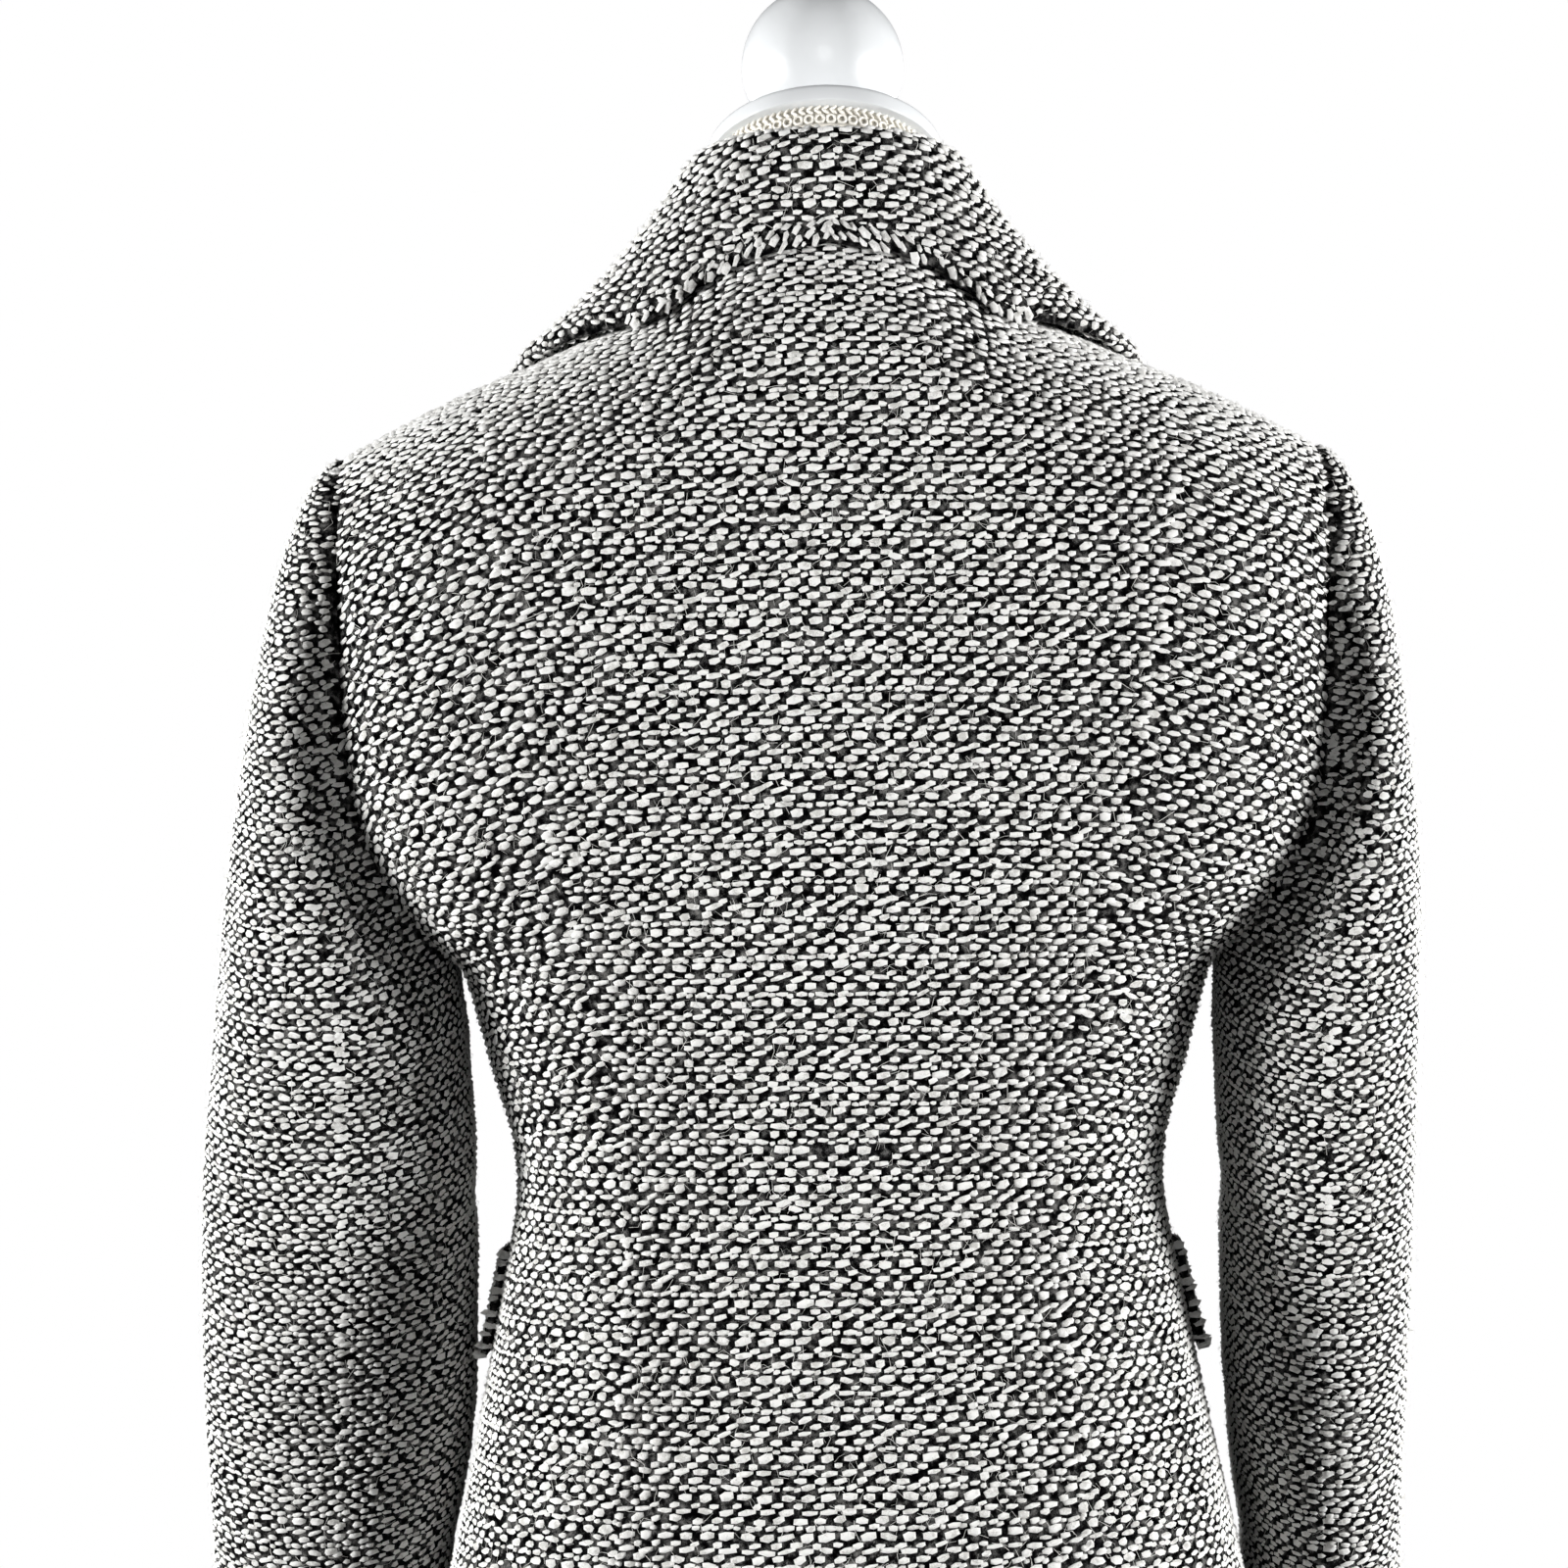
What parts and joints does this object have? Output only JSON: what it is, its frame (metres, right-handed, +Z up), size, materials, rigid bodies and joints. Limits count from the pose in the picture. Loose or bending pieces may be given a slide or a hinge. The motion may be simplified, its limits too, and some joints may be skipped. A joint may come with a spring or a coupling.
{
  "type": "boucle blazer on dress form",
  "caption": "Fitted boucle blazer with princess seams, a flared peplum, pocket flaps and a fold-over collar, worn on a limbless dress form with a ball finial and a round stand.",
  "frame": {"origin": "centre of the underside of the stand's base, on the floor", "axes": "+Z up, the blazer's front faces -Y and the wearer's left side is +X"},
  "size_m": [0.4644, 0.36, 1.4865],
  "materials": {
    "boucle": "loose boucle weave of off-white wool floats over a black and dark grey fuzzy ground",
    "button": "dark, smooth, slightly dished",
    "form_cloth": "smooth cream cotton",
    "braid": "cream gimp braid",
    "white_paint": "glossy white"
  },
  "bodies": {
    "root": {"back_bodice": "boucle", "back_peplum": "boucle", "upper_collar": "boucle", "under_collar": "boucle", "back_side_left": "boucle", "front_side_left": "boucle", "front_left": "boucle", "back_side_peplum_left": "boucle", "front_side_peplum_left": "boucle", "front_peplum_left": "boucle", "upper_sleeve_left": "boucle", "under_sleeve_left": "boucle", "lapel_left": "boucle", "pocket_flap_left": "boucle", "back_side_right": "boucle", "front_side_right": "boucle", "front_right": "boucle", "back_side_peplum_right": "boucle", "front_side_peplum_right": "boucle", "front_peplum_right": "boucle", "upper_sleeve_right": "boucle", "under_sleeve_right": "boucle", "lapel_right": "boucle", "pocket_flap_right": "boucle", "button_1": "button", "button_2": "button", "button_3": "button", "form_torso": "form_cloth", "neck_braid": "braid", "neck_plate": "white_paint", "finial": "white_paint", "stand_base": "white_paint", "stand_pole": "white_paint"}
  },
  "joints": []
}
